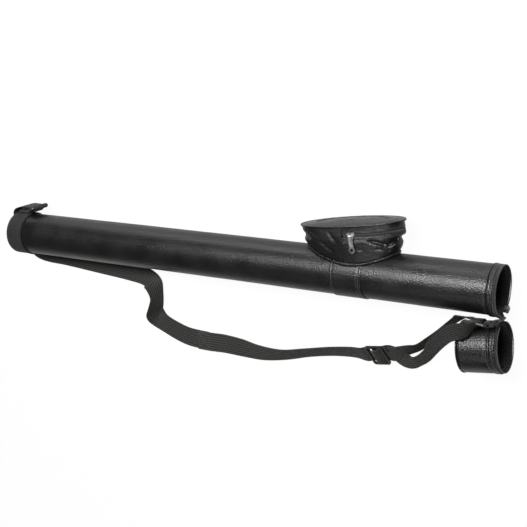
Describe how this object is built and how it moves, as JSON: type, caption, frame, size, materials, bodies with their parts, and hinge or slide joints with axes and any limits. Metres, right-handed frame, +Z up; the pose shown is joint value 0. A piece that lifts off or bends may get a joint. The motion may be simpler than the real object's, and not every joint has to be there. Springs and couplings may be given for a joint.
{
  "type": "cue case",
  "caption": "Soft round tube case for a two-piece cue, with zipped hinged end lid, zipped accessory pouch and adjustable webbing carrying strap.",
  "frame": {"origin": "centre of the closed base end's outer face, on the tube's axis", "axes": "+X along the tube towards its open mouth, +Z up from the floor the case lies on, +Y the way the accessory pouch points"},
  "size_m": [0.8262, 0.2429, 0.0911],
  "materials": {
    "black_leatherette": "satin pebbled leatherette",
    "black_webbing": "ribbed woven webbing",
    "black_nylon": "coarse woven nylon",
    "black_plush": "brushed plush",
    "nickel": "nickel plated",
    "black_metal": "black coated",
    "core_board": "plain",
    "foam": "soft foam",
    "zip_teeth": "satin moulded",
    "zip_tape": "fine woven tape",
    "black_plastic": "satin moulded"
  },
  "bodies": {
    "case": {"base_binding": "black_webbing", "base_cap": "black_nylon", "base_foam_pad": "foam", "base_plug": "core_board", "base_ring": "black_metal", "base_tab": "black_webbing", "core_tube": "core_board", "front_sleeve": "black_leatherette", "front_strap": "black_webbing", "hinge_gusset": "black_webbing", "mouth_hem": "black_leatherette", "mouth_piping": "black_leatherette", "mouth_ring": "black_metal", "mouth_tab": "black_webbing", "mouth_zip_tape": "zip_tape", "mouth_zip_teeth": "zip_teeth", "pouch_band": "black_leatherette", "pouch_base": "black_leatherette", "pouch_foot_piping": "black_leatherette", "pouch_gusset": "black_leatherette", "pouch_top": "black_leatherette", "pouch_top_piping": "black_leatherette", "pouch_zip_tape": "zip_tape", "pouch_zip_teeth": "zip_teeth", "rear_sleeve": "black_leatherette", "rear_strap": "black_webbing", "return_strap": "black_webbing", "strap_slider": "black_plastic", "tube_lining": "black_plush"},
    "lid": {"lid_core": "core_board", "lid_cover": "black_leatherette", "lid_end_panel": "black_leatherette", "lid_foam_pad": "foam", "lid_hem": "black_leatherette", "lid_lining": "black_plush", "lid_piping": "black_leatherette", "lid_top_board": "core_board", "lid_zip_tape": "zip_tape", "lid_zip_teeth": "zip_teeth"},
    "lid_slider": {"lid_zip_slider": "nickel"},
    "lid_pull": {"lid_zip_pull": "nickel"},
    "flap": {"flap_gusset": "black_leatherette", "flap_piping": "black_leatherette", "flap_zip_tape": "zip_tape", "flap_zip_teeth": "zip_teeth", "pouch_flap": "black_leatherette"},
    "pouch_slider": {"pouch_zip_slider": "nickel"},
    "pouch_pull": {"pouch_zip_pull": "nickel"}
  },
  "joints": [
    {"name": "lid_hinge", "type": "hinge", "parent": "case", "child": "lid", "pos_m": [0.803, -0.0365, 0], "axis": [0, 0, 1], "range_deg": [0, 173]},
    {"name": "lid_zip_travel", "type": "hinge", "parent": "case", "child": "lid_slider", "pos_m": [0.803, 0, 0], "axis": [1, 0, 0], "range_deg": [0, 275]},
    {"name": "lid_pull_swing", "type": "hinge", "parent": "lid_slider", "child": "lid_pull", "pos_m": [0.803, -0.03168, -0.01614], "axis": [0, -0.454, 0.891], "range_deg": [0, 150]},
    {"name": "pouch_flap_hinge", "type": "hinge", "parent": "case", "child": "flap", "pos_m": [0.59736, 0.06986, 0], "axis": [0, 0, 1], "range_deg": [0, 65]},
    {"name": "pouch_zip_travel", "type": "hinge", "parent": "case", "child": "pouch_slider", "pos_m": [0.6001, 0.05659, -0.1258], "axis": [-0.1184, 0.993, 0], "range_deg": [0, 10.2]},
    {"name": "pouch_pull_swing", "type": "hinge", "parent": "pouch_slider", "child": "pouch_pull", "pos_m": [0.61233, 0.05805, 0.03425], "axis": [-0.99, -0.1181, 0.0767], "range_deg": [0, 150]}
  ]
}
